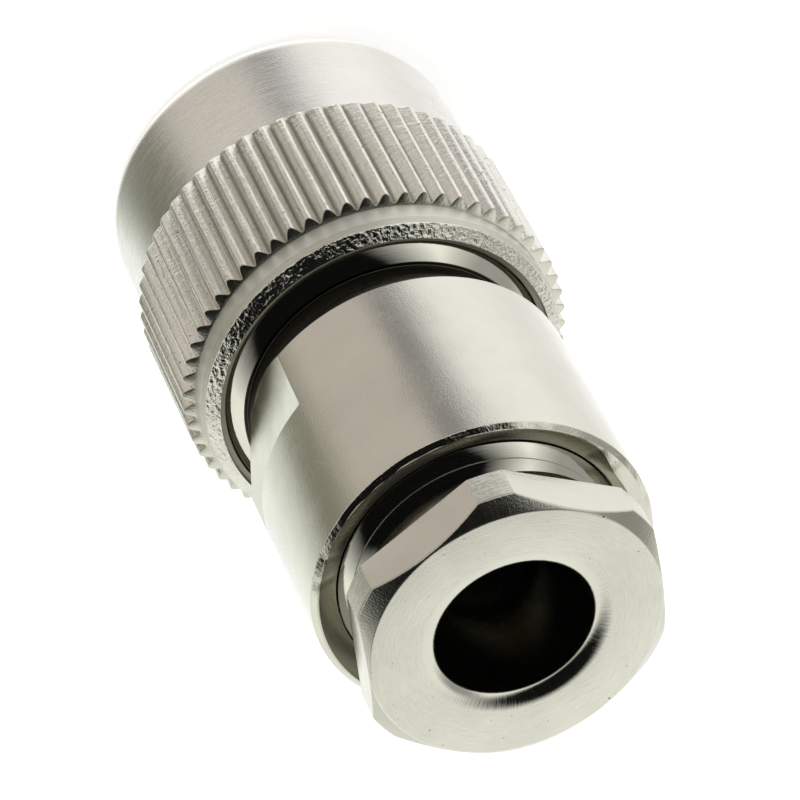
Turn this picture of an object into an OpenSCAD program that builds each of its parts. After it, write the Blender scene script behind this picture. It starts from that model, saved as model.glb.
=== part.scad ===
// Threaded coaxial cable plug, clamp type.
// It stands on the front rim of its coupling nut: the mating end is down and the cable end is up.
// All sizes are in millimetres and the axis of the plug is Z.

/* [Coupling nut] */
// Diameter over the crests of the knurl
knurl_d = 15; // [14.6:0.1:17]
// Depth of the knurl grooves
knurl_depth = 0.4; // [0.2:0.05:0.5]
// Number of knurl teeth
knurl_teeth = 62; // [40:1:80]
// Turn of the knurl about the axis, from the wrench flats
knurl_turn = 3.4; // [0:0.2:6]
// Width of the flat on each knurl crest
crest_flat = 0.12; // [0.06:0.02:0.24]
// Length of the knurled stretch
knurl_l = 6.6; // [5:0.1:9]
// Length of the bevel on the front end of the knurl
knurl_bevel_l = 0.5; // [0.3:0.05:0.8]
// Length of the smooth skirt in front of the knurl
skirt_l = 5; // [4.4:0.1:8]
// Step from the knurl crests down to the skirt
skirt_step = 0.45; // [0.3:0.05:0.6]
// Radius of the rounded front edge of the skirt
skirt_round = 0.5; // [0.2:0.05:0.7]
// Length of the plain tail behind the knurl
tail_l = 1.45; // [0.8:0.05:2.5]
// Step from the knurl crests down to the tail
tail_step = 0.5; // [0.4:0.05:0.7]
// Rise of the rear face from its outer edge to its bore
tail_rise = 0.37; // [0.1:0.01:0.5]
// Bevel on the outer edge of the rear face
tail_bevel = 0.1; // [0.02:0.02:0.16]
// Step from the rear bore out to the recess at its mouth
recess_step = 0.14; // [0.05:0.01:0.2]
// Depth of the recess at the mouth of the rear bore
recess_depth = 0.5; // [0.2:0.05:0.8]
// Diameter of the coupling thread at its root
coupling_d = 11.1; // [10.9:0.05:11.3]
// Length of the coupling thread
coupling_l = 6.2; // [5:0.1:7]
// Depth of the relief behind the coupling thread
relief_depth = 0.3; // [0.1:0.05:0.4]
// Wall of the tail round the rear bore
nut_wall = 0.7; // [0.6:0.05:0.9]
// Lead-in bevel of the coupling thread
lead_bevel = 0.3; // [0.1:0.05:0.4]

/* [Snap ring] */
// Radial width of the ring
ring_w = 0.75; // [0.5:0.05:0.8]
// Thickness of the ring along the axis
ring_t = 0.8; // [0.4:0.05:1.2]
// Distance that the ring stands out of the collar
ring_proud = 0.35; // [0.25:0.05:0.4]
// Distance of the ring in front of the rear face of the coupling nut
ring_setback = 2.6; // [1.8:0.1:3]
// Opening between the ends of the ring
ring_opening = 2.4; // [1:0.2:4]

/* [Front gasket] */
// Thickness of the gasket
seal_t = 1; // [0.5:0.1:1.5]
// Width of the gasket
seal_w = 1.05; // [0.7:0.05:1.1]

/* [Body] */
// Diameter of the outer contact sleeve
sleeve_d = 8.1; // [7.9:0.05:8.2]
// Bore of the outer contact sleeve
sleeve_bore_d = 4.9; // [4.7:0.05:5.2]
// Length of the outer contact sleeve in front of its flange
sleeve_l = 6.3; // [5.6:0.1:6.6]
// Lead-in taper on the sleeve, along the axis
sleeve_taper_l = 0.8; // [0.3:0.1:1.5]
// Lead-in taper on the sleeve, across the axis
sleeve_taper_w = 0.25; // [0.1:0.05:0.5]
// Diameter of the flange that carries the front gasket
flange_d = 10.4; // [10.2:0.1:10.8]
// Length of the flange
flange_l = 1.25; // [0.9:0.05:1.5]
// Length of the collar with its bevel
collar_l = 4.6; // [4.2:0.1:5]
// Bevel on the rear edge of the collar
collar_bevel = 0.53; // [0.2:0.01:0.6]
// Distance that the collar stands out of the coupling nut
collar_proud = 0.3; // [0.1:0.05:0.8]
// Depth of the neck below the collar
neck_step = 0.65; // [0.55:0.05:0.9]
// Length of the neck
neck_l = 0.6; // [0.3:0.05:1.2]
// Length of the cone from the neck to the barrel
cone_l = 1.45; // [0.8:0.05:2]
// Diameter of the barrel
barrel_d = 12.8; // [12.6:0.1:14]
// Length of the barrel
barrel_l = 9; // [8.6:0.1:11]
// Distance across the wrench flats
flats_w = 11.2; // [10.8:0.1:12]
// Length of the wrench flats on the barrel
flats_l = 2.85; // [1.5:0.05:5]
// Bevel on the outer edge of the rear rim
rim_bevel = 0.25; // [0.05:0.05:0.35]
// Width of the flat rim at the rear end
rim_w = 0.06; // [0.02:0.02:0.2]
// Depth of the countersink at the rear end
mouth_depth = 0.5; // [0.2:0.05:0.8]
// Depth of the smooth counterbore, from the rear rim
counterbore_depth = 2.9; // [2.7:0.05:3.2]
// Diameter of the clamp thread
thread_d = 9.6; // [9.4:0.05:9.8]
// Depth of the clamp thread, from the rear rim
thread_depth = 7.5; // [6.9:0.1:7.8]
// Step from the clamp thread down to the chamber in front of it
chamber_step = 0.3; // [0.2:0.05:0.5]
// Depth of the chamber, from the rear rim
chamber_depth = 12.2; // [12:0.05:12.5]
// Wall between the insulator and the front face of the flange
seat_wall = 0.4; // [0.3:0.05:0.7]

/* [Insulators] */
// Diameter of the insulators in the body
insulator_d = 7.1; // [6.4:0.05:7.4]
// Distance from the front of the sleeve to the face of the insulator
insulator_setback = 4.7; // [4.2:0.1:5.4]
// Wall of the insulator in front of the shoulder of the contact pin
insulator_wall = 0.5; // [0.3:0.05:0.9]
// Thickness of the rear insulator
rear_insulator_t = 0.9; // [0.6:0.05:1.2]

/* [Contact pin] */
// Diameter of the mating end of the pin
pin_d = 1.36; // [1.3:0.01:1.4]
// Distance from the front of the sleeve to the tip of the pin
pin_setback = 0.4; // [0.1:0.1:1]
// Length of the coned tip
tip_l = 0.6; // [0.2:0.05:0.9]
// Diameter of the blunt end of the tip
tip_d = 0.6; // [0.3:0.05:0.9]
// Diameter of the shoulder that the insulators hold
shoulder_d = 2.6; // [2.3:0.05:3]
// Diameter of the solder cup
cup_d = 2; // [1.7:0.05:2.1]
// Length of the solder cup behind the shoulder
cup_l = 3; // [2:0.1:4]
// Bore of the solder cup
cup_bore_d = 1.05; // [0.9:0.05:1.2]
// Depth of the solder cup
cup_depth = 1.9; // [1.4:0.1:2.6]
// Diameter of the inspection hole in the solder cup
cup_hole_d = 0.7; // [0.4:0.05:0.9]

/* [Cable clamp] */
// Bore of the braid clamp
clamp_bore_d = 3.6; // [3:0.1:4]
// Thickness of the flange of the braid clamp
clamp_flange_t = 0.9; // [0.5:0.05:1.2]
// Length of the cone of the braid clamp
clamp_cone_l = 1.8; // [1.2:0.1:2]
// Width of the lip of the flange outside the cone
clamp_lip = 0.6; // [0.4:0.05:0.8]
// Taper of the cone, from the flange to its edge
clamp_taper = 0.9; // [0.5:0.05:1.1]
// Bore of the cable gasket
gasket_bore_d = 5.2; // [4.8:0.05:5.3]
// Length of the cable gasket
gasket_l = 3.1; // [2.6:0.05:3.15]
// Bore of the clamp washer
washer_bore_d = 6; // [5.4:0.1:6.4]
// Thickness of the clamp washer
washer_t = 0.7; // [0.4:0.05:0.75]

/* [Clamp nut] */
// Distance across the flats of the hex
hex_w = 10.9; // [10.7:0.1:11.2]
// Distance that the turned corners stand out past the flats
corner_out = 0.5; // [0.3:0.05:0.8]
// Thickness of the hex
hex_t = 1.83; // [1.2:0.01:3]
// Distance of the edge of the flat face inside the flats
face_inset = 0.05; // [0:0.05:0.4]
// Height of the bevel at the turned corners
hex_bevel_h = 0.42; // [0.15:0.01:0.6]
// Turn of the hex about the axis, from the wrench flats
hex_turn = 16.2; // [0:0.2:60]
// Gap between the hex and the body before the nut is tightened
open_gap = 1.76; // [1.7:0.02:2]
// Diameter of the neck under the hex
nut_neck_d = 10.1; // [9.8:0.05:10.3]
// Length of the neck under the hex
nut_neck_l = 1.36; // [0.8:0.02:1.4]
// Diameter of the smooth collar of the nut
nut_collar_d = 10.6; // [10.4:0.05:10.7]
// Length of the smooth collar of the nut
nut_collar_l = 1.5; // [0.6:0.05:1.55]
// Length of the nut in front of the hex
nut_shank_l = 7.4; // [7.35:0.05:7.6]
// Bevel on the front end of the nut
nut_end_bevel = 0.25; // [0.1:0.05:0.4]
// Diameter of the cable hole
hole_d = 5.8; // [5.2:0.1:6.4]
// Radius of the rounded mouth of the cable hole
hole_round = 0.6; // [0.1:0.02:0.8]

/* [Clearances] */
// Radial play of the coupling nut on the collar
nut_play = 0.15; // [0.1:0.05:0.2]
// Axial play of the coupling nut in front of the collar
nut_end_play = 0.35; // [0.2:0.05:0.5]
// Clearance around the snap ring in its grooves
ring_play = 0.1; // [0.06:0.02:0.14]
// Radial play of the clamp nut in its thread
screw_play = 0.1; // [0.06:0.02:0.16]
// Radial clearance of the pieces that are slid into the body
slip = 0.05; // [0.03:0.01:0.08]
// Clearance between the ends of pieces that seat on each other
seat_gap = 0.05; // [0.02:0.01:0.08]

/* [Hidden] */
$fn = 96;
// Over-length of cutting tools, so that no cut ends on a face
cut = 1;
// Overlap of two solids that are joined into one piece
lap = 0.3;
// Steps in a rounded edge
round_steps = 6;

nickel = "#c4c0b4";
bright_nickel = "#cfccc4";
spring_steel = "#8f8f8c";
silicone = "#b5523a";
ptfe = "#f1efe8";
gold = "#d2a84a";
nitrile = "#2a2a2a";

// Heights along the axis, from the front rim
nut_l = skirt_l + knurl_l + tail_l;
collar_back = nut_l + collar_proud;
collar_front = collar_back - collar_l;
flange_front = collar_front - flange_l;
sleeve_front = flange_front - sleeve_l;
cone_start = collar_back + neck_l;
barrel_start = cone_start + cone_l;
barrel_end = barrel_start + barrel_l;
shoulder_face = collar_front - nut_end_play;
ring_mid = nut_l - ring_setback;
insulator_seat = flange_front + seat_wall;
insulator_face = sleeve_front + insulator_setback;
chamber_floor = barrel_end - chamber_depth;
rear_insulator_back = chamber_floor - seat_gap;
rear_insulator_front = rear_insulator_back - rear_insulator_t;
pin_shoulder = insulator_seat + seat_gap + insulator_wall;
pin_back = rear_insulator_front - seat_gap;
pin_tip = sleeve_front + pin_setback;
clamp_front = chamber_floor + seat_gap;
clamp_cone_start = clamp_front + clamp_flange_t;
clamp_edge = clamp_cone_start + clamp_cone_l;
gasket_front = clamp_cone_start + seat_gap;
gasket_back = gasket_front + gasket_l;
hex_back = barrel_end + open_gap;
hex_face = hex_back + hex_t;
nut_neck_front = hex_back - nut_neck_l;
nut_collar_front = nut_neck_front - nut_collar_l;
nut_end = hex_back - nut_shank_l;
washer_back = nut_end - seat_gap;
washer_front = washer_back - washer_t;

// Radii
crest_r = knurl_d / 2;
root_r = crest_r - knurl_depth;
skirt_r = crest_r - skirt_step;
tail_r = crest_r - tail_step;
coupling_r = coupling_d / 2;
relief_r = coupling_r + relief_depth;
nut_bore_r = tail_r - nut_wall;
recess_r = nut_bore_r + recess_step;
collar_r = nut_bore_r - nut_play;
neck_r = collar_r - neck_step;
flange_r = flange_d / 2;
ring_r = collar_r + ring_proud;
ring_groove_r = ring_r + ring_play;
ring_seat_r = ring_r - ring_w - ring_play;
ring_half = ring_t / 2 + ring_play;
sleeve_r = sleeve_d / 2;
sleeve_bore_r = sleeve_bore_d / 2;
insulator_r = insulator_d / 2;
insulator_bore_r = insulator_r + slip;
pin_r = pin_d / 2;
shoulder_r = shoulder_d / 2;
cup_r = cup_d / 2;
barrel_r = barrel_d / 2;
mouth_r = barrel_r - rim_bevel - rim_w;
thread_r = thread_d / 2;
chamber_r = thread_r - chamber_step;
counterbore_r = nut_collar_d / 2 + slip;
inner_r = chamber_r - 2 * slip;
clamp_cone_r = inner_r - clamp_lip;
clamp_edge_r = clamp_cone_r - clamp_taper;
hole_r = hole_d / 2;
hex_r = hex_w / 2;
turned_r = hex_r + corner_out;

// A turned solid from a list of [radius, height] points
module turned(profile) {
    rotate_extrude() polygon(profile);
}

// A plain ring between two radii and two heights
module ring(inner, outer, low, high) {
    turned([[inner, low], [outer, low], [outer, high], [inner, high]]);
}

// Points of a quarter round about [r, z], from angle a1 to a2
function quarter(r, z, radius, a1, a2) = [
    for (i = [0:round_steps]) let (a = a1 + (a2 - a1) * i / round_steps)
        [r + radius * cos(a), z + radius * sin(a)]
];

// Outline of the knurl: a V groove between each two flat crests
function knurl_outline() = [
    for (i = [0:knurl_teeth - 1])
        let (
            mid = knurl_turn + 360 * i / knurl_teeth,
            half_flat = asin(crest_flat / 2 / crest_r),
            half_pitch = 180 / knurl_teeth
        )
        each [
            crest_r * [cos(mid - half_flat), sin(mid - half_flat)],
            crest_r * [cos(mid + half_flat), sin(mid + half_flat)],
            root_r * [cos(mid + half_pitch), sin(mid + half_pitch)]
        ]
];

// The knurl with its front end bevelled down to the skirt
module knurl() {
    slope = skirt_step / knurl_bevel_l;
    intersection() {
        translate([0, 0, skirt_l - cut]) linear_extrude(knurl_l + cut) polygon(knurl_outline());
        turned([
            [0, skirt_l - lap],
            [skirt_r - slope * lap, skirt_l - lap],
            [crest_r + slope * lap, skirt_l + knurl_bevel_l + lap],
            [crest_r + slope * lap, nut_l],
            [0, nut_l]
        ]);
    }
}

module nut_outside() {
    turned(concat(
        [[0, 0]],
        quarter(skirt_r - skirt_round, skirt_round, skirt_round, -90, 0),
        [
            [skirt_r, skirt_l + lap],
            [tail_r, skirt_l + lap],
            [tail_r, nut_l - tail_rise - tail_bevel],
            [tail_r - tail_bevel, nut_l - tail_rise],
            [recess_r, nut_l],
            [0, nut_l]
        ]
    ));
    knurl();
}

module nut_inside() {
    turned([
        [0, -cut],
        [coupling_r + lead_bevel, -cut],
        [coupling_r + lead_bevel, 0],
        [coupling_r, lead_bevel],
        [coupling_r, coupling_l],
        [relief_r, coupling_l],
        [relief_r, shoulder_face],
        [nut_bore_r, shoulder_face],
        [nut_bore_r, ring_mid - ring_half],
        [ring_groove_r, ring_mid - ring_half],
        [ring_groove_r, ring_mid + ring_half],
        [nut_bore_r, ring_mid + ring_half],
        [nut_bore_r, nut_l - recess_depth],
        [recess_r, nut_l - recess_depth],
        [recess_r, nut_l + cut],
        [0, nut_l + cut]
    ]);
}

module coupling_nut() {
    color(nickel) difference() {
        nut_outside();
        nut_inside();
    }
}

module snap_ring() {
    color(spring_steel) difference() {
        ring(ring_r - ring_w, ring_r, ring_mid - ring_t / 2, ring_mid + ring_t / 2);
        translate([0, -ring_opening / 2, ring_mid - ring_t])
            cube([ring_r + cut, ring_opening, 2 * ring_t]);
    }
}

module front_gasket() {
    color(silicone) ring(sleeve_r + slip, sleeve_r + slip + seal_w,
        flange_front - seat_gap - seal_t, flange_front - seat_gap);
}

module body_outside() {
    turned([
        [0, sleeve_front],
        [sleeve_r - sleeve_taper_w, sleeve_front],
        [sleeve_r, sleeve_front + sleeve_taper_l],
        [sleeve_r, flange_front],
        [flange_r, flange_front],
        [flange_r, collar_front],
        [collar_r, collar_front],
        [collar_r, ring_mid - ring_half],
        [ring_seat_r, ring_mid - ring_half],
        [ring_seat_r, ring_mid + ring_half],
        [collar_r, ring_mid + ring_half],
        [collar_r, collar_back - collar_bevel],
        [collar_r - collar_bevel, collar_back],
        [neck_r, collar_back],
        [neck_r, cone_start],
        [barrel_r, barrel_start],
        [barrel_r, barrel_end - rim_bevel],
        [barrel_r - rim_bevel, barrel_end],
        [0, barrel_end]
    ]);
}

module body_inside() {
    turned([
        [0, sleeve_front - cut],
        [sleeve_bore_r, sleeve_front - cut],
        [sleeve_bore_r, insulator_seat],
        [insulator_bore_r, insulator_seat],
        [insulator_bore_r, chamber_floor],
        [chamber_r, chamber_floor],
        [chamber_r, barrel_end - thread_depth],
        [thread_r, barrel_end - thread_depth],
        [thread_r, barrel_end - counterbore_depth],
        [counterbore_r, barrel_end - counterbore_depth],
        [counterbore_r, barrel_end - mouth_depth],
        [mouth_r, barrel_end],
        [mouth_r, barrel_end + cut],
        [0, barrel_end + cut]
    ]);
}

module wrench_flats() {
    for (side = [0, 180]) rotate(side)
        translate([flats_w / 2, -barrel_d, cone_start])
            cube([barrel_d, 2 * barrel_d, cone_l + flats_l]);
}

module body() {
    color(nickel) difference() {
        body_outside();
        body_inside();
        wrench_flats();
    }
}

module insulator() {
    nose_r = sleeve_bore_r - slip;
    color(ptfe) turned([
        [pin_r + slip, insulator_face],
        [nose_r, insulator_face],
        [nose_r, insulator_seat + seat_gap],
        [insulator_r, insulator_seat + seat_gap],
        [insulator_r, pin_back],
        [shoulder_r + slip, pin_back],
        [shoulder_r + slip, pin_shoulder],
        [pin_r + slip, pin_shoulder]
    ]);
}

module contact_pin() {
    cup_end = pin_back + cup_l;
    color(gold) difference() {
        turned([
            [0, pin_tip],
            [tip_d / 2, pin_tip],
            [pin_r, pin_tip + tip_l],
            [pin_r, pin_shoulder + seat_gap],
            [shoulder_r, pin_shoulder + seat_gap],
            [shoulder_r, pin_back],
            [cup_r, pin_back],
            [cup_r, cup_end],
            [cup_bore_d / 2, cup_end],
            [cup_bore_d / 2, cup_end - cup_depth],
            [0, cup_end - cup_depth]
        ]);
        translate([0, 0, cup_end - cup_depth / 2]) rotate([0, 90, 0])
            cylinder(d = cup_hole_d, h = cup_r + cut);
    }
}

module rear_insulator() {
    color(ptfe) ring(cup_r + slip, insulator_r, rear_insulator_front, rear_insulator_back);
}

module braid_clamp() {
    color(bright_nickel) turned([
        [clamp_bore_d / 2, clamp_front],
        [inner_r, clamp_front],
        [inner_r, clamp_cone_start],
        [clamp_cone_r, clamp_cone_start],
        [clamp_edge_r, clamp_edge],
        [clamp_bore_d / 2, clamp_edge]
    ]);
}

module cable_gasket() {
    color(nitrile) turned([
        [clamp_cone_r + slip, gasket_front],
        [inner_r, gasket_front],
        [inner_r, gasket_back],
        [gasket_bore_d / 2, gasket_back],
        [gasket_bore_d / 2, clamp_edge + seat_gap],
        [clamp_edge_r + slip, clamp_edge + seat_gap]
    ]);
}

module clamp_washer() {
    color(bright_nickel) ring(washer_bore_d / 2, inner_r, washer_front, washer_back);
}

module hex_head() {
    intersection() {
        translate([0, 0, hex_back]) rotate(hex_turn + 30)
            cylinder(r = hex_r / cos(30), h = hex_t, $fn = 6);
        turned([
            [0, hex_back],
            [turned_r, hex_back],
            [turned_r, hex_face - hex_bevel_h],
            [hex_r - face_inset, hex_face],
            [0, hex_face]
        ]);
    }
}

module nut_shank() {
    shank_r = thread_r - screw_play;
    turned([
        [0, nut_end],
        [shank_r - nut_end_bevel, nut_end],
        [shank_r, nut_end + nut_end_bevel],
        [shank_r, nut_collar_front],
        [nut_collar_d / 2, nut_collar_front],
        [nut_collar_d / 2, nut_neck_front],
        [nut_neck_d / 2, nut_neck_front],
        [nut_neck_d / 2, hex_back + lap],
        [0, hex_back + lap]
    ]);
}

module cable_hole() {
    turned(concat(
        [[0, nut_end - cut], [hole_r, nut_end - cut]],
        quarter(hole_r + hole_round, hex_face - hole_round, hole_round, 180, 90),
        [[hole_r + hole_round, hex_face + cut], [0, hex_face + cut]]
    ));
}

module clamp_nut() {
    color(bright_nickel) difference() {
        union() {
            hex_head();
            nut_shank();
        }
        cable_hole();
    }
}

coupling_nut();
snap_ring();
front_gasket();
body();
insulator();
contact_pin();
rear_insulator();
braid_clamp();
cable_gasket();
clamp_washer();
clamp_nut();
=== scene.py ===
import math

import bmesh
import bpy
import numpy as np
from mathutils import Matrix, Vector


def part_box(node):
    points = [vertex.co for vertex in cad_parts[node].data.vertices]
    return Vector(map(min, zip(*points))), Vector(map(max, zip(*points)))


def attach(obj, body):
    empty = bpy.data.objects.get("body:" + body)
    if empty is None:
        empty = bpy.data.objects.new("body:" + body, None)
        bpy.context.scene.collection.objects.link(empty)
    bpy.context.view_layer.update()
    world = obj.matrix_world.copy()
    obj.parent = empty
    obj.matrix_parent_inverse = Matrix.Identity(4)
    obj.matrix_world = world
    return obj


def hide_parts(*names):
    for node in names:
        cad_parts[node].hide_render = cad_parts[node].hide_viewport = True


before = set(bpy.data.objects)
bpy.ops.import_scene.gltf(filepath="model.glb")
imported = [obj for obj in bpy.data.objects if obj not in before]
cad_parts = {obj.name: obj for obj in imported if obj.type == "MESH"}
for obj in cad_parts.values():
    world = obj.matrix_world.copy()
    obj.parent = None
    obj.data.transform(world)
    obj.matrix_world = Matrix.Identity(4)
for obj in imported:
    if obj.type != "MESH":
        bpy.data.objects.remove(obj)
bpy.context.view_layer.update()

# Coupling nut
# A turned brass nut, nickel plated: a smooth skirt, a straight knurl cut into the thick part and a plain
# tail with a grained ring round the rear end. It slips over the body's collar, and a snap ring holds it.
mm = 0.001
nut_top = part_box("coupling_nut")[1]
nut_length = nut_top[2] / mm
crest_radius = nut_top[1] / mm
knurl_teeth = 62
knurl_depth = 0.4
knurl_turn = math.radians(3.4)
knurl_end = 11.6
tooth_slope = 0.25
tooth_middle = 7.28
skirt_end = 5.0
skirt_radius = 7.05
skirt_round = 0.75
bevel_length = 0.5
tail_radius = 7.0
tail_rise = 0.37
tail_bevel = 0.1
tail_bevel_run = 0.26
rear_bore = 6.3
rear_lip = 6.21
lip_length = 0.3
recess_radius = 6.44
recess_depth = 0.22
coupling_root = 5.55
coupling_ridge = 0.44
coupling_pitch = 25.4 / 28
coupling_length = 6.2
lead_bevel = 0.3
relief_radius = 5.85
shoulder_height = 8.4
groove_radius = 6.6
groove_low = 9.95
groove_high = 10.95
crisp_edge = 0.01
fine_edge = 0.02
plain_edge = 0.03
eased_edge = 0.04
broken_edge = 0.05
knurl_foot = 0.06
corner_steps = 4
large_corner = 0.2
large_corner_steps = 12
edge_share = 0.48
shortest_edge = 1e-9


def softened_section(stations, columns):
    """The rows of a closed section, each row a radius and a height for every column.

    A station is a corner: radius, height, softening and finish. With no softening it is one row. With some,
    the corner becomes a curve that leaves the edge before it, at the softening's distance, is drawn towards
    the corner, and joins the edge after it at the same distance: (1-t)^2 start + 2t(1-t) corner + t^2 end.
    The distance is at most the edge share of an edge's length, so that two curves never meet. The finish is
    that of the wall that follows, one for the whole turn or one for each column.
    """
    corners = np.stack([
        np.stack([np.broadcast_to(radius, columns), np.broadcast_to(height, columns)], axis=-1)
        for radius, height, softening, finish in stations
    ]).astype(float)
    before = np.roll(corners, 1, axis=0)
    after = np.roll(corners, -1, axis=0)
    rows = []
    finishes = []
    for corner, back, ahead, station in zip(corners, before, after, stations):
        softening = station[2]
        finish = np.broadcast_to(station[3], columns)
        if softening == 0:
            rows.append(corner[None])
            finishes.append(finish)
            continue
        steps = large_corner_steps if softening > large_corner else corner_steps
        t = np.linspace(0, 1, steps + 1)[:, None, None]
        ends = []
        for other in (back, ahead):
            edge = other - corner
            length = np.maximum(np.linalg.norm(edge, axis=-1, keepdims=True), shortest_edge)
            ends.append(corner + edge / length * np.minimum(softening, edge_share * length))
        start, end = ends
        rows.append((1 - t) ** 2 * start + 2 * t * (1 - t) * corner + t ** 2 * end)
        finishes += [finish] * (steps + 1)
    return np.concatenate(rows), np.stack(finishes)


merge_distance = 1e-8


def turned_piece(name, stations, angles, finishes, sharp_degrees=21):
    """A turned piece: the section's rows carried round the axis.

    A point of row k and column j lies at (r cos a, r sin a, z), with r and z from the row and a the column's
    angle. Rows and columns both close on themselves. The attribute "lay" keeps, for every point, the cosine
    and sine of its angle and its distance along the section, so that tool marks can follow the turning.
    """
    rows, finish_rows = softened_section(stations, len(angles))
    radius, height = rows[..., 0], rows[..., 1]
    row_count, column_count = radius.shape
    points = np.stack([radius * np.cos(angles), radius * np.sin(angles), height], axis=-1) * mm
    steps = np.linalg.norm(np.diff(rows, axis=0), axis=-1).mean(axis=1)
    travel = np.concatenate([[0], np.cumsum(steps)])
    lay = np.stack(np.broadcast_arrays(np.cos(angles), np.sin(angles), travel[:, None]), axis=-1)
    index = np.arange(row_count * column_count).reshape(row_count, column_count)
    quads = np.stack([
        index,
        np.roll(index, -1, axis=1),
        np.roll(np.roll(index, -1, axis=0), -1, axis=1),
        np.roll(index, -1, axis=0),
    ], axis=-1).reshape(-1, 4)
    mesh = bpy.data.meshes.new(name)
    mesh.from_pydata(points.reshape(-1, 3), [], quads)
    mesh.polygons.foreach_set("material_index", finish_rows.ravel())
    mesh.attributes.new("lay", "FLOAT_VECTOR", "POINT").data.foreach_set("vector", lay.ravel())
    build = bmesh.new()
    build.from_mesh(mesh)
    bmesh.ops.remove_doubles(build, verts=build.verts, dist=merge_distance)
    bmesh.ops.recalc_face_normals(build, faces=build.faces)
    build.to_mesh(mesh)
    build.free()
    mesh.polygons.foreach_set("use_smooth", np.ones(len(mesh.polygons), bool))
    mesh.set_sharp_from_angle(angle=math.radians(sharp_degrees))
    for finish in finishes:
        mesh.materials.append(finish)
    piece = bpy.data.objects.new(name, mesh)
    bpy.context.scene.collection.objects.link(piece)
    return piece


rows_per_pitch = 6
thread_flat = 0.125


def thread_stations(start, end, root, ridge, pitch, angles, finish, shift=0.0):
    """Stations for a right-hand thread, at even heights from start to end.

    The radius is root + ridge times a triangle wave of (height / pitch - angle / full turn + shift). The top
    and the bottom of the wave are each flat over the thread flat, a share of the pitch. The ridge fades in
    and out over one pitch at the two ends.
    """
    heights = np.linspace(start, end, int(abs(end - start) / pitch * rows_per_pitch) + 1)
    phase = (heights[:, None] / pitch - angles / (2 * math.pi) + shift) % 1
    wave = np.clip((1 - np.abs(2 * phase - 1) - thread_flat) / (1 - 2 * thread_flat), 0, 1)
    low, high = min(start, end), max(start, end)
    fade = np.clip(np.minimum(heights - low, high - heights) / pitch, 0, 1)[:, None]
    radii = root + ridge * wave * fade
    return [(row, height, 0, finish) for row, height in zip(radii, heights)]


def shader_node(tree, kind, values=None, **settings):
    """Adds a node, sets its properties and its inputs, and links the inputs that are given as sockets."""
    node = tree.nodes.new(kind)
    for key, value in settings.items():
        setattr(node, key, value)
    for key, value in (values or {}).items():
        if isinstance(value, bpy.types.NodeSocket):
            tree.links.new(value, node.inputs[key])
        else:
            node.inputs[key].default_value = value
    return node


def noise(tree, place, scale, detail):
    """A noise of about even spread, from 0 to 1, with so many features to a unit of its place."""
    return shader_node(
        tree, "ShaderNodeTexNoise", {"Vector": place, "Scale": scale, "Detail": detail, "Roughness": 0.6}
    ).outputs["Fac"]


def blended(tree, share, first, second):
    """The first colour where the share is 0 and the second where it is 1."""
    return shader_node(tree, "ShaderNodeMix", {0: share, 6: first, 7: second}, data_type="RGBA").outputs[2]


def spread(tree, value, low, high, first=0.0, second=1.0):
    """A value taken from the range low to high into the range first to second, held at its ends."""
    return shader_node(tree, "ShaderNodeMapRange", {
        "Value": value, "From Min": low, "From Max": high, "To Min": first, "To Max": second,
    }).outputs["Result"]


noise_low = 0.3
noise_high = 0.7
cloud_scale = 420.0
cloud_shade = 0.92
patch_low = 0.4
patch_high = 0.6
shallow_pits = 0.6
deep_pits = 1.2
speck_scale = 6200.0
speck_fade = 0.05
speck_colour = (0.05, 0.045, 0.04, 1)
hollow_shade_level = 0.5


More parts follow.
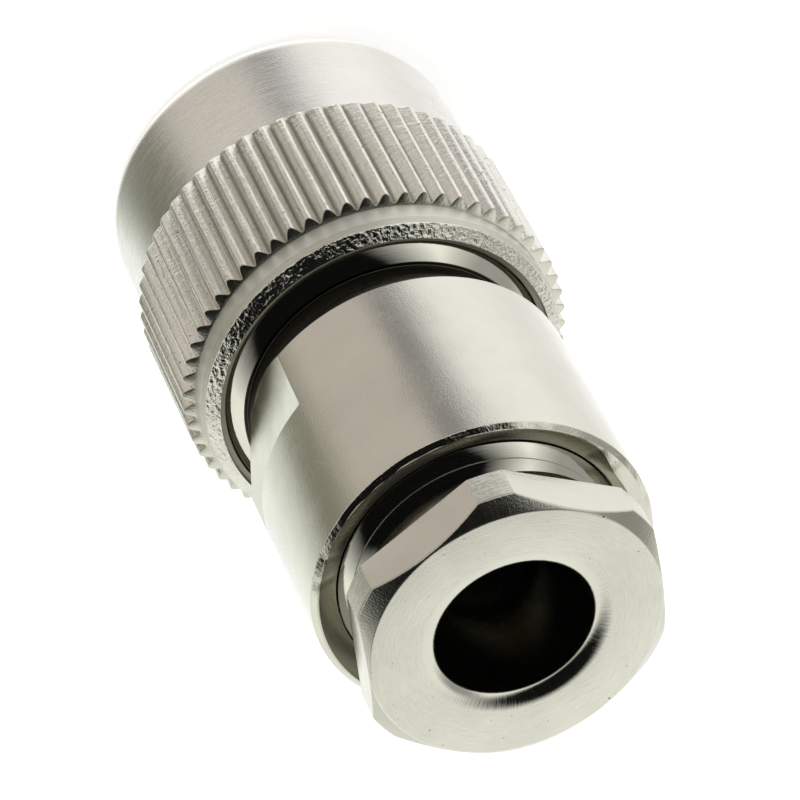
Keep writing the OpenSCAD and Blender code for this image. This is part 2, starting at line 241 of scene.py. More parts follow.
def plated_metal(
    name, colour, roughness, rings=0.0, ring_density=(7.0, 7.0, 14.0),
    lines=0.0, line_density=(80.0, 80.0, 0.5), pits=0.0, pit_size=0.1, speck_limit=0.85,
    metallic=1.0, unevenness=1.25, hollow_shade=None,
):
    """Plated metal with tool marks, all depths in millimetres.

    Rings and lines follow the attribute "lay": noise that is dense along the section and slow round the axis
    makes rings, and the other way round it makes lines along the axis. Pits are a fine noise on object
    coordinates, deeper in some patches than in others, specks are the rarest peaks of a third noise, and a
    wide noise shifts the colour a little. The roughness goes up and down by the unevenness with the marks.
    A hollow shade is two distances from the axis: a painted shade darkens the colour inside the first, and
    fades away to the second.
    """
    material = bpy.data.materials.new(name)
    material.use_nodes = True
    tree = material.node_tree
    shader = tree.nodes["Principled BSDF"]
    shader.inputs["Metallic"].default_value = metallic
    place = shader_node(tree, "ShaderNodeTexCoord").outputs["Object"]
    lay = shader_node(tree, "ShaderNodeAttribute", attribute_name="lay").outputs["Vector"]
    clouds = noise(tree, place, cloud_scale, detail=3.0)
    normal = None
    mark = None
    for depth, density in ((rings, ring_density), (lines, line_density)):
        if depth:
            stretched = shader_node(tree, "ShaderNodeVectorMath", {0: lay, 1: density}, operation="MULTIPLY")
            mark = noise(tree, stretched.outputs[0], scale=1.0, detail=4.0)
            bump = {"Height": mark, "Distance": depth * mm}
            if normal:
                bump["Normal"] = normal
            normal = shader_node(tree, "ShaderNodeBump", bump).outputs["Normal"]
    if pits:
        pit = noise(tree, place, 1 / (pit_size * mm), detail=2.0)
        patch = spread(tree, clouds, patch_low, patch_high, shallow_pits, deep_pits)
        pit = shader_node(tree, "ShaderNodeMath", {0: pit, 1: patch}, operation="MULTIPLY").outputs[0]
        bump = {"Height": pit, "Distance": pits * mm}
        if normal:
            bump["Normal"] = normal
        normal = shader_node(tree, "ShaderNodeBump", bump).outputs["Normal"]
    tree.links.new(normal, shader.inputs["Normal"])
    duller = (*(cloud_shade * part for part in colour), 1)
    plate = blended(tree, spread(tree, clouds, noise_low, noise_high), (*colour, 1), duller)
    peaks = noise(tree, place, speck_scale, detail=1.0)
    speck = spread(tree, peaks, speck_limit, speck_limit + speck_fade)
    tint = blended(tree, speck, plate, speck_colour)
    # Painted shade: the colour is darkened towards the axis, fully inside the first distance and not at all
    # beyond the second.
    if hollow_shade:
        shade_edge, shade_end = hollow_shade
        across = shader_node(tree, "ShaderNodeVectorMath", {0: place, 1: (1, 1, 0)}, operation="MULTIPLY")
        reach = shader_node(tree, "ShaderNodeVectorMath", {0: across.outputs[0]}, operation="LENGTH")
        shade_share = spread(tree, reach.outputs["Value"], shade_end * mm, shade_edge * mm)
        tint = blended(tree, shade_share, tint, (*(hollow_shade_level * part for part in colour), 1))
    tree.links.new(tint, shader.inputs["Base Color"])
    wear = clouds if mark is None else mark
    gloss = spread(tree, wear, noise_low, noise_high, roughness / unevenness, roughness * unevenness)
    tree.links.new(gloss, shader.inputs["Roughness"])
    return material


nickel = (0.66, 0.645, 0.565)
pale_nickel = (0.72, 0.705, 0.645)
valley_shade_end = 0.32
skirt_nickel = plated_metal(
    "skirt_nickel", pale_nickel, 0.21, rings=0.005, pits=0.006, pit_size=0.065, unevenness=1.6
)
# The knurl's valleys get a painted shade, darkest at the root.
knurl_nickel = plated_metal(
    "knurl_nickel", (0.76, 0.745, 0.675), 0.2, rings=0.026, ring_density=(14.0, 14.0, 5.0), lines=0.03,
    pits=0.02, pit_size=0.12, speck_limit=0.72,
    hollow_shade=(crest_radius - knurl_depth, crest_radius - valley_shade_end),
)
end_nickel = plated_metal("end_nickel", (0.6, 0.585, 0.5), 0.2, pits=0.008, pit_size=0.1)
grained_nickel = plated_metal("grained_nickel", nickel, 0.16, pits=0.06, pit_size=0.15)
tail_nickel = plated_metal("tail_nickel", pale_nickel, 0.5, rings=0.006, pits=0.004, pit_size=0.1)
ridged_nickel = plated_metal(
    "ridged_nickel", (0.52, 0.51, 0.435), 0.3, rings=0.02, ring_density=(2.0, 2.0, 20.0)
)
# Painted shade: a dull, dark nickel for the rear recess of the coupling nut and the wall behind the body's
# collar groove, standing in for the shade in them.
recess_shade_nickel = plated_metal("recess_shade_nickel", (0.36, 0.345, 0.265), 0.35, rings=0.004, metallic=0.4)
polished_nickel = plated_metal("polished_nickel", nickel, 0.07, rings=0.0012, pits=0.0004)

# The knurl: the height of one tooth across its pitch, carried round. The ends of the teeth slope.
tooth_places = np.array([-0.5, -0.42, -0.31, -0.2, -0.1, 0, 0.1, 0.2, 0.31, 0.42])
tooth_heights = np.array([0, 0.1, 0.46, 0.77, 0.95, 1, 0.95, 0.77, 0.46, 0.1])
tooth_pitch = 2 * math.pi / knurl_teeth
nut_angles = ((np.arange(knurl_teeth)[:, None] + tooth_places) * tooth_pitch).ravel() + knurl_turn
knurl_radius = crest_radius - knurl_depth * (1 - np.tile(tooth_heights, knurl_teeth))
knurl_front = skirt_end + bevel_length * (knurl_radius - skirt_radius) / (crest_radius - skirt_radius)
tooth_ends = knurl_end + tooth_slope * (tooth_middle - knurl_radius)
tail_start = knurl_end + tooth_slope * (tooth_middle - tail_radius)
# The finishes, numbered as the piece's materials are listed.
SMOOTH, KNURLED, GRAINED, TAIL, RECESS_SHADE, ENDS, RIDGED = range(7)

# The grained ring: rows between its two edges, each point moved in or out by a random grain.
grain_rows = 11
grain_depth = 0.008
grain_blend = 0.5
grain_seed = 5
ring_edge = np.array([tail_radius - tail_bevel, nut_length - tail_rise])
ring_run = np.array([recess_radius, nut_length]) - ring_edge
ring_out = np.array([ring_run[1], -ring_run[0]]) / np.linalg.norm(ring_run)
rough = np.random.default_rng(grain_seed).normal(size=(grain_rows, len(nut_angles)))
rough = rough + grain_blend * (np.roll(rough, 1, axis=1) + np.roll(rough, 1, axis=0))
grain_share = (np.arange(1, grain_rows + 1) / (grain_rows + 1))[:, None, None]
grain_points = ring_edge + ring_run * grain_share + ring_out * (grain_depth * rough)[..., None]
grain_stations = [(row[:, 0], row[:, 1], 0, GRAINED) for row in grain_points]
coupling_nut = turned_piece("coupling_nut_plated", [
    (coupling_root + lead_bevel, 0, broken_edge, SMOOTH),
    (skirt_radius, 0, skirt_round, SMOOTH),
    (skirt_radius, skirt_end, knurl_foot, KNURLED),
    (knurl_radius, knurl_front, broken_edge, KNURLED),
    (knurl_radius, tooth_ends, eased_edge, ENDS),
    (tail_radius, tail_start, 0, TAIL),
    (tail_radius, nut_length - tail_rise - tail_bevel_run, fine_edge, RIDGED),
    (tail_radius - tail_bevel, nut_length - tail_rise, plain_edge, GRAINED),
    *grain_stations,
    (recess_radius, nut_length, plain_edge, RECESS_SHADE),
    (recess_radius, nut_length - recess_depth, 0, RECESS_SHADE),
    (rear_lip, nut_length - recess_depth, fine_edge, RECESS_SHADE),
    (rear_lip, nut_length - recess_depth - lip_length, 0, SMOOTH),
    (rear_bore, nut_length - recess_depth - lip_length, 0, SMOOTH),
    (rear_bore, groove_high, 0, SMOOTH),
    (groove_radius, groove_high, 0, SMOOTH),
    (groove_radius, groove_low, 0, SMOOTH),
    (rear_bore, groove_low, 0, SMOOTH),
    (rear_bore, shoulder_height, 0, SMOOTH),
    (relief_radius, shoulder_height, plain_edge, SMOOTH),
    (relief_radius, coupling_length, 0, SMOOTH),
    *thread_stations(
        coupling_length, lead_bevel, coupling_root, -coupling_ridge, coupling_pitch, nut_angles, SMOOTH,
    ),
], nut_angles, [
    skirt_nickel, knurl_nickel, grained_nickel, tail_nickel, recess_shade_nickel, end_nickel, ridged_nickel,
], sharp_degrees=40)
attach(coupling_nut, "coupling")
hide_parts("coupling_nut")

# Body
# One turned brass bar, nickel plated: the contact sleeve in front, the collar inside the coupling nut, a V
# neck, and the barrel with two milled wrench flats. Its rear end is bored and threaded for the cable clamp.
body_low, body_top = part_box("body")
sleeve_front = body_low[2] / mm
barrel_end = body_top[2] / mm
barrel_radius = body_top[1] / mm
sleeve_radius = 4.05
sleeve_taper = 0.25
sleeve_taper_length = 0.8
sleeve_bore = 2.45
sleeve_mouth_round = 0.1
sleeve_tip_round = 0.15
sleeve_taper_round = 0.2
flange_front = 7.5
flange_radius = 5.2
collar_front = 8.75
collar_back = 13.35
collar_radius = 6.15
collar_bevel = 0.53
ring_seat = 5.65
neck_radius = 5.5
cone_start = 13.95
barrel_start = 15.4
flat_distance = 5.54
flat_fall = 0.03
flat_rise = 0.2
flat_rows = 7
flats_end = 18.25
rim_bevel = 0.19
rim_width = 0.08
mouth_depth = 0.5
counterbore_radius = 5.35
counterbore_floor = 21.5
clamp_pitch = 0.75
clamp_middle = 4.8
clamp_ridge = 0.36
clamp_play = 0.06
thread_floor = 16.9
chamber_radius = 4.5
chamber_floor = 12.2
insulator_bore = 3.6
insulator_seat = 7.9

# The flats: the barrel's round cut at a distance from the axis that grows slightly towards the rear.
even_columns = 240
least_cosine = 1e-3
touching = 1e-6
flat_shares = np.linspace(0, 1, flat_rows)
flat_distances = flat_distance + flat_fall * (flat_rise - (1 - flat_shares) ** 2)
flat_edges = np.arccos(flat_distances / barrel_radius)
flat_breaks = np.concatenate([flat_edges, -flat_edges, math.pi + flat_edges, math.pi - flat_edges])
even_angles = np.arange(even_columns) * 2 * math.pi / even_columns
body_angles = np.sort(np.concatenate([even_angles, flat_breaks % (2 * math.pi)]))
flat_reach = np.maximum(np.abs(np.cos(body_angles)), least_cosine)
flat_outlines = np.minimum(barrel_radius, flat_distances[:, None] / flat_reach)
cone_share = (flat_outlines[0] - neck_radius) / (barrel_radius - neck_radius)
cone_meets = cone_start + (barrel_start - cone_start) * cone_share
flat_heights = cone_meets + (flats_end - cone_meets) * flat_shares[:, None]

# The rear rim: nicks at given angles in degrees, a side that is worn flat, and a fine burr along the edge.
rim_nicks = [(-133, 0.02), (-125, 0.03), (-50, 0.03), (-26, 0.02), (-9, 0.04), (1, 0.05)]
nick_width = 1.0
worn_width = 0.4
worn_middle = -165
worn_half = 44
worn_fade = 18
burr_height = 0.06
burr_level = 0.4
burr_waves = 9
burr_ripples = 23
burr_shift = 1


def away_from(degrees):
    """How far each column of the body lies from an angle, in degrees, from 0 to 180."""
    return np.degrees(np.abs(np.angle(np.exp(1j * (body_angles - math.radians(degrees))))))


rim_height = barrel_end - sum(
    depth * np.exp(-(away_from(degrees) / nick_width) ** 2) for degrees, depth in rim_nicks
)
worn_share = np.clip((worn_half - away_from(worn_middle)) / worn_fade, 0, 1)
flat_width = rim_width + worn_width * worn_share ** 2 * (3 - 2 * worn_share)
burr_beat = np.sin(burr_waves * body_angles) * np.sin(burr_ripples * body_angles + burr_shift)
burr = burr_height * np.clip(burr_level + burr_beat, 0, 1)
satin_nickel = plated_metal(
    "satin_nickel", nickel, 0.13, rings=0.004, ring_density=(36.0, 36.0, 18.0), pits=0.0085, pit_size=0.062
)
flat_nickel = plated_metal("flat_nickel", nickel, 0.1, lines=0.002, pits=0.005, pit_size=0.05)
# Painted shade: a near-black nickel on the back of the collar and the V neck, standing in for the shade
# there.
shaded_nickel = plated_metal("shaded_nickel", (0.09, 0.086, 0.068), 0.2, rings=0.003)
edge_nickel = plated_metal("edge_nickel", (0.62, 0.605, 0.52), 0.12, rings=0.002, pits=0.02, pit_size=0.14)
# Painted shade: a dark olive nickel on the countersink and the counterbore wall inside the body's rear rim.
olive_nickel = plated_metal("olive_nickel", (0.35, 0.34, 0.265), 0.16, rings=0.004, metallic=0.85)
faced_nickel = plated_metal(
    "faced_nickel", nickel, 0.25, rings=0.003, pits=0.003, pit_size=0.05, speck_limit=0.77
)
# The finishes, numbered as the piece's materials are listed.
SATIN, POLISHED, SHADED, EDGE, OLIVE, SLIT, FACED, FLAT = range(8)
on_flat = flat_outlines < barrel_radius - touching
flat_finishes = np.where(on_flat | np.roll(on_flat, -1, axis=1), FLAT, SATIN)
flat_stations = [
    (outline, height, 0, finish)
    for outline, height, finish in zip(flat_outlines, flat_heights, flat_finishes)
]
body = turned_piece("body_plated", [
    (sleeve_bore, sleeve_front, sleeve_mouth_round, SATIN),
    (sleeve_radius - sleeve_taper, sleeve_front, sleeve_tip_round, SATIN),
    (sleeve_radius, sleeve_front + sleeve_taper_length, sleeve_taper_round, SATIN),
    (sleeve_radius, flange_front, broken_edge, SATIN),
    (flange_radius, flange_front, broken_edge, SATIN),
    (flange_radius, collar_front, broken_edge, SATIN),
    (collar_radius, collar_front, broken_edge, SATIN),
    (collar_radius, groove_low, plain_edge, SATIN),
    (ring_seat, groove_low, plain_edge, SATIN),
    (ring_seat, groove_high, plain_edge, SATIN),
    (collar_radius, groove_high, plain_edge, SLIT),
    (collar_radius, collar_back - collar_bevel, eased_edge, POLISHED),
    (collar_radius - collar_bevel, collar_back, plain_edge, SHADED),
    (neck_radius, collar_back, plain_edge, SHADED),
    (neck_radius, cone_start, broken_edge, SHADED),
    *flat_stations,
    (barrel_radius, flats_end, plain_edge, SATIN),
    (barrel_radius, barrel_end - rim_bevel, plain_edge, EDGE),
    (barrel_radius - rim_bevel, rim_height - burr, 0, EDGE),
    (barrel_radius - rim_bevel, rim_height, crisp_edge, FACED),
    (barrel_radius - rim_bevel - flat_width, rim_height, crisp_edge, OLIVE),
    (counterbore_radius, barrel_end - mouth_depth, eased_edge, OLIVE),
    (counterbore_radius, counterbore_floor, plain_edge, SATIN),
    *thread_stations(
        counterbore_floor, thread_floor, clamp_middle + clamp_ridge / 2 + clamp_play, -clamp_ridge,
        clamp_pitch, body_angles, SATIN, shift=0.5,
    ),
    (chamber_radius, thread_floor, plain_edge, SATIN),
    (chamber_radius, chamber_floor, broken_edge, SATIN),
    (insulator_bore, chamber_floor, broken_edge, SATIN),
    (insulator_bore, insulator_seat, plain_edge, SATIN),
    (sleeve_bore, insulator_seat, plain_edge, SATIN),
], body_angles, [
    satin_nickel, polished_nickel, shaded_nickel, edge_nickel, olive_nickel, recess_shade_nickel, faced_nickel,
    flat_nickel,
])
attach(body, "shell")
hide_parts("body")

# Clamp nut
# A turned brass nut, nickel plated, with a hex head whose corners are turned off, a smooth neck and collar,
# and a threaded shank. It screws into the rear end of the body and squeezes the cable gasket onto the cable.
clamp_low, clamp_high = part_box("clamp_nut")
shank_end = clamp_low[2] / mm
hex_face = clamp_high[2] / mm
hex_height = 1.83
hex_back = hex_face - hex_height
hex_corners = 6
hex_flat = 5.45
hex_turned = 5.95
hex_face_radius = 5.4
hex_bevel = 0.49
hex_turn = math.radians(16.2)
hole_radius = 2.9
mouth_width = 0.65
mouth_fall = 0.42
mouth_rows = 16
clamp_neck_radius = 5.05
clamp_neck_length = 0.86
clamp_neck_front = hex_back - clamp_neck_length
clamp_collar_radius = 5.3
collar_front_drop = 2.86
collar_back_drop = 2.24
clamp_collar_front = hex_back - collar_front_drop
collar_back_edge = hex_back - collar_back_drop
collar_slope = 0.4
collar_step = 0.03
groove_slope = 0.34
shank_bevel = 0.25
shank_mouth_round = 0.08

# The hex: the turned round cut by six flats, with columns where they meet.
sixth = 2 * math.pi / hex_corners
corner_edge = math.acos(hex_flat / hex_turned)
corner_breaks = hex_turn + np.arange(hex_corners)[:, None] * sixth + np.array([-corner_edge, corner_edge])
hex_angles = np.sort(np.concatenate([even_angles, corner_breaks.ravel() % (2 * math.pi)]))
from_flat = (hex_angles - hex_turn + sixth / 2) % sixth - sixth / 2
hex_outline = np.minimum(hex_turned, hex_flat / np.cos(from_flat))
bevel_share = (hex_outline - hex_face_radius) / (hex_turned - hex_face_radius)
bevel_meets = hex_face - hex_bevel * bevel_share

# The mouth of the cable hole: a quarter of an ellipse.
mouth_tilts = np.linspace(0, math.pi / 2, mouth_rows)
mouth_radii = hole_radius + mouth_width * (1 - np.sin(mouth_tilts))
mouth_depths = mouth_fall * (1 - np.cos(mouth_tilts))
mouth_nickel = plated_metal(
    "mouth_nickel", (0.61, 0.597, 0.523), 0.13, lines=0.007, line_density=(40.0, 40.0, 1.5)
)
milled_nickel = plated_metal("milled_nickel", nickel, 0.22, rings=0.007, ring_density=(5.0, 5.0, 11.0))
# Painted shade: a dark nickel on the groove's slope and the neck under the hex, standing in for the shade in
# the groove.
deep_nickel = plated_metal("deep_nickel", (0.3, 0.29, 0.24), 0.16, rings=0.002)
turned_nickel = plated_metal("turned_nickel", nickel, 0.25, rings=0.03, ring_density=(3.0, 3.0, 11.0))
chamfer_nickel = plated_metal(
    "chamfer_nickel", (0.49, 0.48, 0.41), 0.2, lines=0.006, pits=0.008, pit_size=0.08
)
# The finishes after satin and polished, which keep their numbers from the body.
MOUTH, HEX_FACE, DEEP, MILLED, TURNED, CHAMFER = range(2, 8)
on_corner = hex_outline > hex_turned - touching
hex_sides = np.where(on_corner & np.roll(on_corner, -1), TURNED, MILLED)
shank_root = clamp_middle - clamp_ridge / 2
slope_radius = clamp_collar_radius - collar_slope
slope_height = collar_back_edge + collar_slope
mouth_stations = [(radius, hex_face - depth, 0, MOUTH) for radius, depth in zip(mouth_radii, mouth_depths)]
clamp_nut = turned_piece("clamp_nut_plated", [
    (hole_radius, shank_end, shank_mouth_round, SATIN),
    (shank_root - shank_bevel, shank_end, broken_edge, SATIN),
    (shank_root, shank_end + shank_bevel, broken_edge, SATIN),
    *thread_stations(
        shank_end + shank_bevel, clamp_collar_front, shank_root, clamp_ridge, clamp_pitch, hex_angles, SATIN,
    ),
    (clamp_collar_radius, clamp_collar_front, broken_edge, POLISHED),
    (clamp_collar_radius, collar_back_edge, fine_edge, POLISHED),
    (slope_radius, slope_height, crisp_edge, POLISHED),
    (slope_radius - collar_step, slope_height, crisp_edge, POLISHED),
    (slope_radius - collar_step - groove_slope, slope_height + groove_slope, 0, DEEP),
    (clamp_neck_radius, clamp_neck_front, 0, DEEP),
    (clamp_neck_radius, hex_back, 0, MILLED),
    (hex_outline, hex_back, eased_edge, hex_sides),
    (hex_outline, bevel_meets, broken_edge, CHAMFER),
    (hex_face_radius, hex_face, broken_edge, HEX_FACE),
    *mouth_stations,
], hex_angles, [
    satin_nickel, polished_nickel, mouth_nickel, faced_nickel, deep_nickel, milled_nickel, turned_nickel,
    chamfer_nickel,
])
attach(clamp_nut, "clamp")
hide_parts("clamp_nut")

# Snap ring
# An open ring of spring wire with square edges, half in the groove of the body and half in that of the
# coupling nut. It is bare steel with a fine grain.


def dress(node, material):
    """Gives a CAD node's own form a better material."""
    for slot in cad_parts[node].material_slots:
        slot.material = material


spring_steel = plated_metal("spring_steel_wire", (0.42, 0.42, 0.41), 0.3, pits=0.003, pit_size=0.08)
dress("snap_ring", spring_steel)

# Front gasket
# A moulded ring of brick red silicone round the foot of the contact sleeve. The socket's rim presses on it
# and seals.
gasket_low, gasket_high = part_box("front_gasket")
gasket_outer = gasket_high[0] / mm
gasket_inner = 4.1
gasket_front = gasket_low[2] / mm
gasket_back = gasket_high[2] / mm
gasket_round = 0.25
ring_columns = 120
ring_angles = np.arange(ring_columns) * 2 * math.pi / ring_columns
mottle_scale = 500.0
mottle_shade = 0.85
gloss_change = 0.05


def moulded(name, colour, roughness, grain, grain_size):
    """Rubber or plastic with an even grain and a wide, weak change of shade, all on object coordinates."""
    material = bpy.data.materials.new(name)
    material.use_nodes = True
    tree = material.node_tree
    shader = tree.nodes["Principled BSDF"]
    place = shader_node(tree, "ShaderNodeTexCoord").outputs["Object"]
    bump = {"Height": noise(tree, place, 1 / (grain_size * mm), detail=3.0), "Distance": grain * mm}
    tree.links.new(shader_node(tree, "ShaderNodeBump", bump).outputs["Normal"], shader.inputs["Normal"])
    mottle = noise(tree, place, mottle_scale, detail=2.0)
    darker = (*(mottle_shade * part for part in colour), 1)
    shade = blended(tree, spread(tree, mottle, noise_low, noise_high), (*colour, 1), darker)
    tree.links.new(shade, shader.inputs["Base Color"])
    gloss = spread(tree, mottle, noise_low, noise_high, roughness - gloss_change, roughness + gloss_change)
    tree.links.new(gloss, shader.inputs["Roughness"])
    return material


red_silicone = moulded("red_silicone", (0.36, 0.07, 0.035), 0.6, grain=0.006, grain_size=0.15)
front_gasket = turned_piece("front_gasket_moulded", [
    (gasket_inner, gasket_front, gasket_round, 0),
    (gasket_outer, gasket_front, gasket_round, 0),
    (gasket_outer, gasket_back, gasket_round, 0),
    (gasket_inner, gasket_back, gasket_round, 0),
], ring_angles, [red_silicone])
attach(front_gasket, "shell")
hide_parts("front_gasket")

# Insulators
# Two turned pieces of white fluoroplastic. The front one is stepped and holds the pin's shoulder in the
# body, and the rear one is a plain washer behind it.
white_plastic = moulded("white_fluoroplastic", (0.82, 0.81, 0.77), 0.45, grain=0.004, grain_size=0.2)
dress("insulator", white_plastic)
dress("rear_insulator", white_plastic)

# Contact pin
# A turned brass pin, gold plated, with a rounded tip in front and a solder cup behind. Its shoulder sits
# between the two insulators.
gold = plated_metal("gold_plate_thin", (0.8, 0.53, 0.17), 0.2, pits=0.002, pit_size=0.07)
dress("contact_pin", gold)

# Braid clamp, cable gasket and clamp washer
# The clamp stack inside the barrel: a tapered nickel plated sleeve that the braid folds over, a black
# nitrile ring that squeezes the cable, and a nickel plated slip washer under the clamp nut.
dull_nickel = plated_metal("dull_nickel", nickel, 0.3, pits=0.003, pit_size=0.08)
black_nitrile = moulded("black_nitrile", (0.02, 0.02, 0.02), 0.55, grain=0.006, grain_size=0.12)
dress("braid_clamp", dull_nickel)
dress("cable_gasket", black_nitrile)
dress("clamp_washer", dull_nickel)

# Studio
# A pale floor that keeps the plug's shadow, white all round for the camera, and a plain soft lamp overhead.
# Bright metal shows a light tent with a dark opening above and a few darker panels low down.
camera_azimuth = math.radians(-59.3)
camera_elevation = math.radians(48.53)
camera_roll = math.radians(-152.59)
camera_distance = 177.09 * mm
camera_aim = Vector((2.45, -4.32, 19.86)) * mm
camera_lens = 225.04
camera_near = 0.001


def pointing(azimuth, elevation):
    """The unit vector at an azimuth and an elevation."""
    return Vector((
        math.cos(elevation) * math.cos(azimuth),
        math.cos(elevation) * math.sin(azimuth),
        math.sin(elevation),
    ))


towards_camera = pointing(camera_azimuth, camera_elevation)
towards_front = pointing(camera_azimuth, 0)
level_right = pointing(camera_azimuth + math.pi / 2, 0)
level_up = towards_camera.cross(level_right)
camera_up = math.cos(camera_roll) * level_up + math.sin(camera_roll) * level_right
camera_right = math.cos(camera_roll) * level_right - math.sin(camera_roll) * level_up
camera_data = bpy.data.cameras.new("camera")
camera_data.lens = camera_lens
camera_data.sensor_width = 36
camera_data.clip_start = camera_near
camera = bpy.data.objects.new("camera", camera_data)
turn = Matrix((camera_right, camera_up, towards_camera)).transposed().to_4x4()
camera.matrix_world = Matrix.Translation(camera_aim + towards_camera * camera_distance) @ turn
bpy.context.scene.collection.objects.link(camera)
bpy.context.scene.camera = camera
bpy.context.scene.view_settings.view_transform = "Standard"

# The floor: it adds a glow for the camera alone, is clear from below, and is left out of reflections.
floor_half = 1.5
floor_glow = 0.55
floor_corners = [(-1, -1), (1, -1), (1, 1), (-1, 1)]
floor_mesh = bpy.data.meshes.new("floor")
floor_mesh.from_pydata([(x * floor_half, y * floor_half, 0) for x, y in floor_corners], [], [(0, 1, 2, 3)])
floor = bpy.data.objects.new("floor", floor_mesh)
bpy.context.scene.collection.objects.link(floor)
floor.visible_glossy = False
floor_material = bpy.data.materials.new("floor_white")
floor_material.use_nodes = True
floor_tree = floor_material.node_tree
floor_shader = floor_tree.nodes["Principled BSDF"]
floor_shader.inputs["Base Color"].default_value = (0.8, 0.8, 0.79, 1)
floor_shader.inputs["Roughness"].default_value = 0.9
floor_shader.inputs["Specular IOR Level"].default_value = 0.0
floor_shader.inputs["Emission Color"].default_value = (1, 1, 1, 1)
seen = shader_node(floor_tree, "ShaderNodeLightPath").outputs["Is Camera Ray"]
glow = shader_node(floor_tree, "ShaderNodeMath", {0: seen, 1: floor_glow}, operation="MULTIPLY").outputs[0]
floor_tree.links.new(glow, floor_shader.inputs["Emission Strength"])
underside = shader_node(floor_tree, "ShaderNodeNewGeometry").outputs["Backfacing"]
see_through = shader_node(floor_tree, "ShaderNodeBsdfTransparent").outputs[0]
one_sided = shader_node(
    floor_tree, "ShaderNodeMixShader", {0: underside, 1: floor_shader.outputs[0], 2: see_through}
).outputs[0]
floor_tree.links.new(one_sided, floor_tree.nodes["Material Output"].inputs["Surface"])
floor_mesh.materials.append(floor_material)

lamp_data = bpy.data.lights.new("overhead_lamp", "AREA")
lamp_data.shape = "DISK"
lamp_data.size = 0.25
lamp_data.energy = 0.6
lamp = bpy.data.objects.new("overhead_lamp", lamp_data)
lamp.location = (0.05, 0.05, 0.35)
lamp.rotation_euler = (Vector((0, 0, 0)) - lamp.location).to_track_quat("-Z", "Y").to_euler()
lamp.visible_glossy = False
bpy.context.scene.collection.objects.link(lamp)

# A dark card below the floor, which shows in reflections only.
card_front = 5.2
card_right = 12.0
card_height = -5
card_radius = 7.0 * mm
card_core = 0.15
card_sides = 48
card_centre = (towards_front * card_front + level_right * card_right + Vector((0, 0, card_height))) * mm
card_turns = np.linspace(0, 2 * math.pi, card_sides, endpoint=False)
card_rim = np.stack([np.cos(card_turns), np.sin(card_turns), 0 * card_turns], axis=-1) * card_radius
card_mesh = bpy.data.meshes.new("dark_card")
card_mesh.from_pydata(card_rim + np.array(card_centre), [], [tuple(range(card_sides))])
card = bpy.data.objects.new("dark_card", card_mesh)
bpy.context.scene.collection.objects.link(card)
card.visible_camera = False
card.visible_diffuse = False
card.visible_shadow = False
card_material = bpy.data.materials.new("dark_card")
card_material.use_nodes = True
card_tree = card_material.node_tree
card_tree.nodes.clear()
card_place = shader_node(card_tree, "ShaderNodeTexCoord").outputs["Object"]
from_centre = shader_node(
    card_tree, "ShaderNodeVectorMath", {0: card_place, 1: tuple(card_centre)}, operation="DISTANCE"
).outputs["Value"]
clear = shader_node(card_tree, "ShaderNodeBsdfTransparent").outputs[0]
dark = shader_node(card_tree, "ShaderNodeEmission", {"Color": (0.2, 0.2, 0.16, 1)}).outputs[0]
cover = spread(card_tree, from_centre, card_radius, card_core * card_radius)
soft_card = shader_node(card_tree, "ShaderNodeMixShader", {0: cover, 1: clear, 2: dark}).outputs[0]
shader_node(card_tree, "ShaderNodeOutputMaterial", {"Surface": soft_card})
card_mesh.materials.append(card_material)

# The world: white for the camera, plain light for the diffuse, and the light tent for reflections.
world = bpy.data.worlds.new("studio")
bpy.context.scene.world = world
world.use_nodes = True
studio = world.node_tree
studio.nodes.clear()
direction = shader_node(studio, "ShaderNodeTexCoord").outputs["Generated"]


def along(axis):
    """How far the direction looked in points along an axis: their dot product."""
    return shader_node(
        studio, "ShaderNodeVectorMath", {0: direction, 1: tuple(axis)}, operation="DOT_PRODUCT"
    ).outputs["Value"]


def dark_disc(azimuth, elevation, outer, inner, level):
    """1 outside a round patch of the tent, the level inside it, and a soft edge between the two radii."""
    axis = pointing(camera_azimuth + math.radians(azimuth), math.radians(elevation))
    return spread(
        studio, along(axis), math.cos(math.radians(outer)), math.cos(math.radians(inner)), 1.0, level
    )


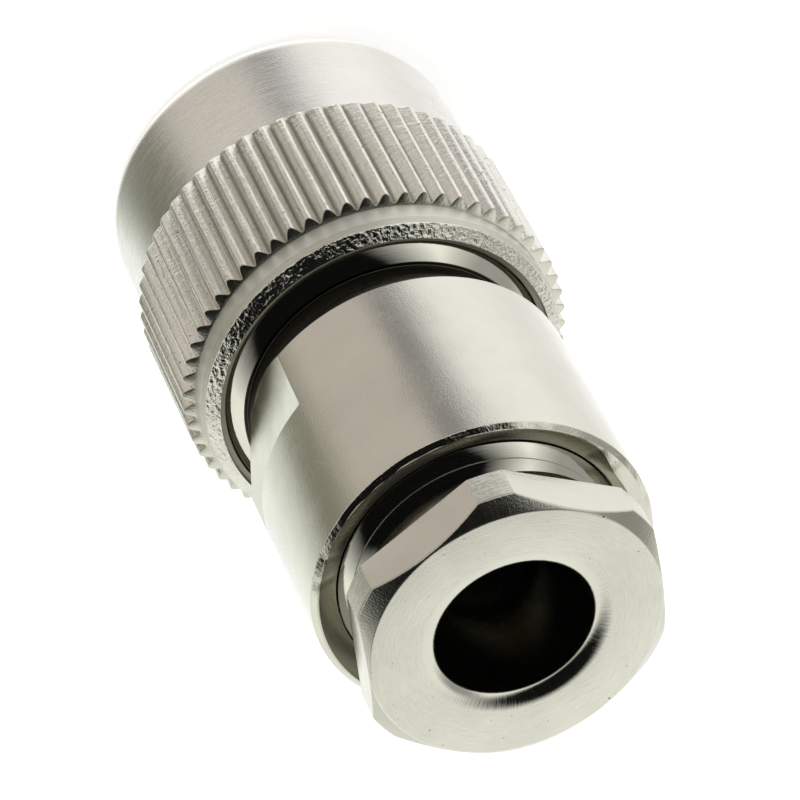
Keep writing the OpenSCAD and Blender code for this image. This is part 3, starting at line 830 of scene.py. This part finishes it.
opening = dark_disc(azimuth=28, elevation=65, outer=67, inner=43, level=0.003)
side_panel = dark_disc(azimuth=-109, elevation=22, outer=34, inner=14, level=0.38)
azimuth = shader_node(
    studio, "ShaderNodeMath", {0: along(level_right), 1: along(towards_front)}, operation="ARCTAN2"
).outputs[0]
panels = shader_node(studio, "ShaderNodeValToRGB", {"Fac": spread(studio, azimuth, -math.pi, math.pi)})
panel_stops = [
    (-180, (0.82, 0.82, 0.82)),
    (-152, (0.76, 0.76, 0.76)),
    (-128, (0.68, 0.68, 0.68)),
    (-108, (0.68, 0.68, 0.68)),
    (-86, (0.79, 0.79, 0.79)),
    (-52, (0.76, 0.76, 0.77)),
    (-40, (0.55, 0.55, 0.56)),
    (-28, (0.21, 0.207, 0.21)),
    (-14, (0.22, 0.217, 0.22)),
    (-11, (0.42, 0.39, 0.365)),
    (46, (0.42, 0.39, 0.365)),
    (64, (0.21, 0.205, 0.168)),
    (83, (0.165, 0.16, 0.128)),
    (99, (0.47, 0.49, 0.45)),
    (120, (0.67, 0.71, 0.665)),
    (150, (0.76, 0.77, 0.76)),
]
ramp = panels.color_ramp
while len(ramp.elements) < len(panel_stops):
    ramp.elements.new(0.5)
for element, (degrees, colour) in zip(ramp.elements, panel_stops):
    element.position = degrees / 360 + 0.5
    element.color = (*colour, 1)
cloth_white = (0.76, 0.775, 0.755, 1)
pure_white = (1, 1, 1, 1)
panels_start = 0.1
panels_full = -0.3
ground_start = -0.86
ground_full = -0.95
tent_strength = 1.6
plain_strength = 0.55
climb = along((0, 0, 1))
panel_share = spread(studio, climb, panels_start, panels_full)
ground_share = spread(studio, climb, ground_start, ground_full)
walls = blended(studio, panel_share, cloth_white, panels.outputs["Color"])
tent = blended(studio, ground_share, walls, pure_white)
shading = shader_node(studio, "ShaderNodeMath", {0: opening, 1: side_panel}, operation="MULTIPLY").outputs[0]
brightness = shader_node(
    studio, "ShaderNodeMath", {0: shading, 1: tent_strength}, operation="MULTIPLY"
).outputs[0]
reflected = shader_node(studio, "ShaderNodeBackground", {"Color": tent, "Strength": brightness}).outputs[0]
plain = shader_node(
    studio, "ShaderNodeBackground", {"Color": pure_white, "Strength": plain_strength}
).outputs[0]
white = shader_node(studio, "ShaderNodeBackground", {"Color": pure_white, "Strength": 1.0}).outputs[0]
path = shader_node(studio, "ShaderNodeLightPath").outputs
mirrored = shader_node(
    studio, "ShaderNodeMath", {0: path["Is Glossy Ray"], 1: path["Is Transmission Ray"]}, operation="MAXIMUM"
).outputs[0]
lit = shader_node(studio, "ShaderNodeMixShader", {0: mirrored, 1: plain, 2: reflected}).outputs[0]
shown = shader_node(studio, "ShaderNodeMixShader", {0: path["Is Camera Ray"], 1: lit, 2: white}).outputs[0]
shader_node(studio, "ShaderNodeOutputWorld", {"Surface": shown})
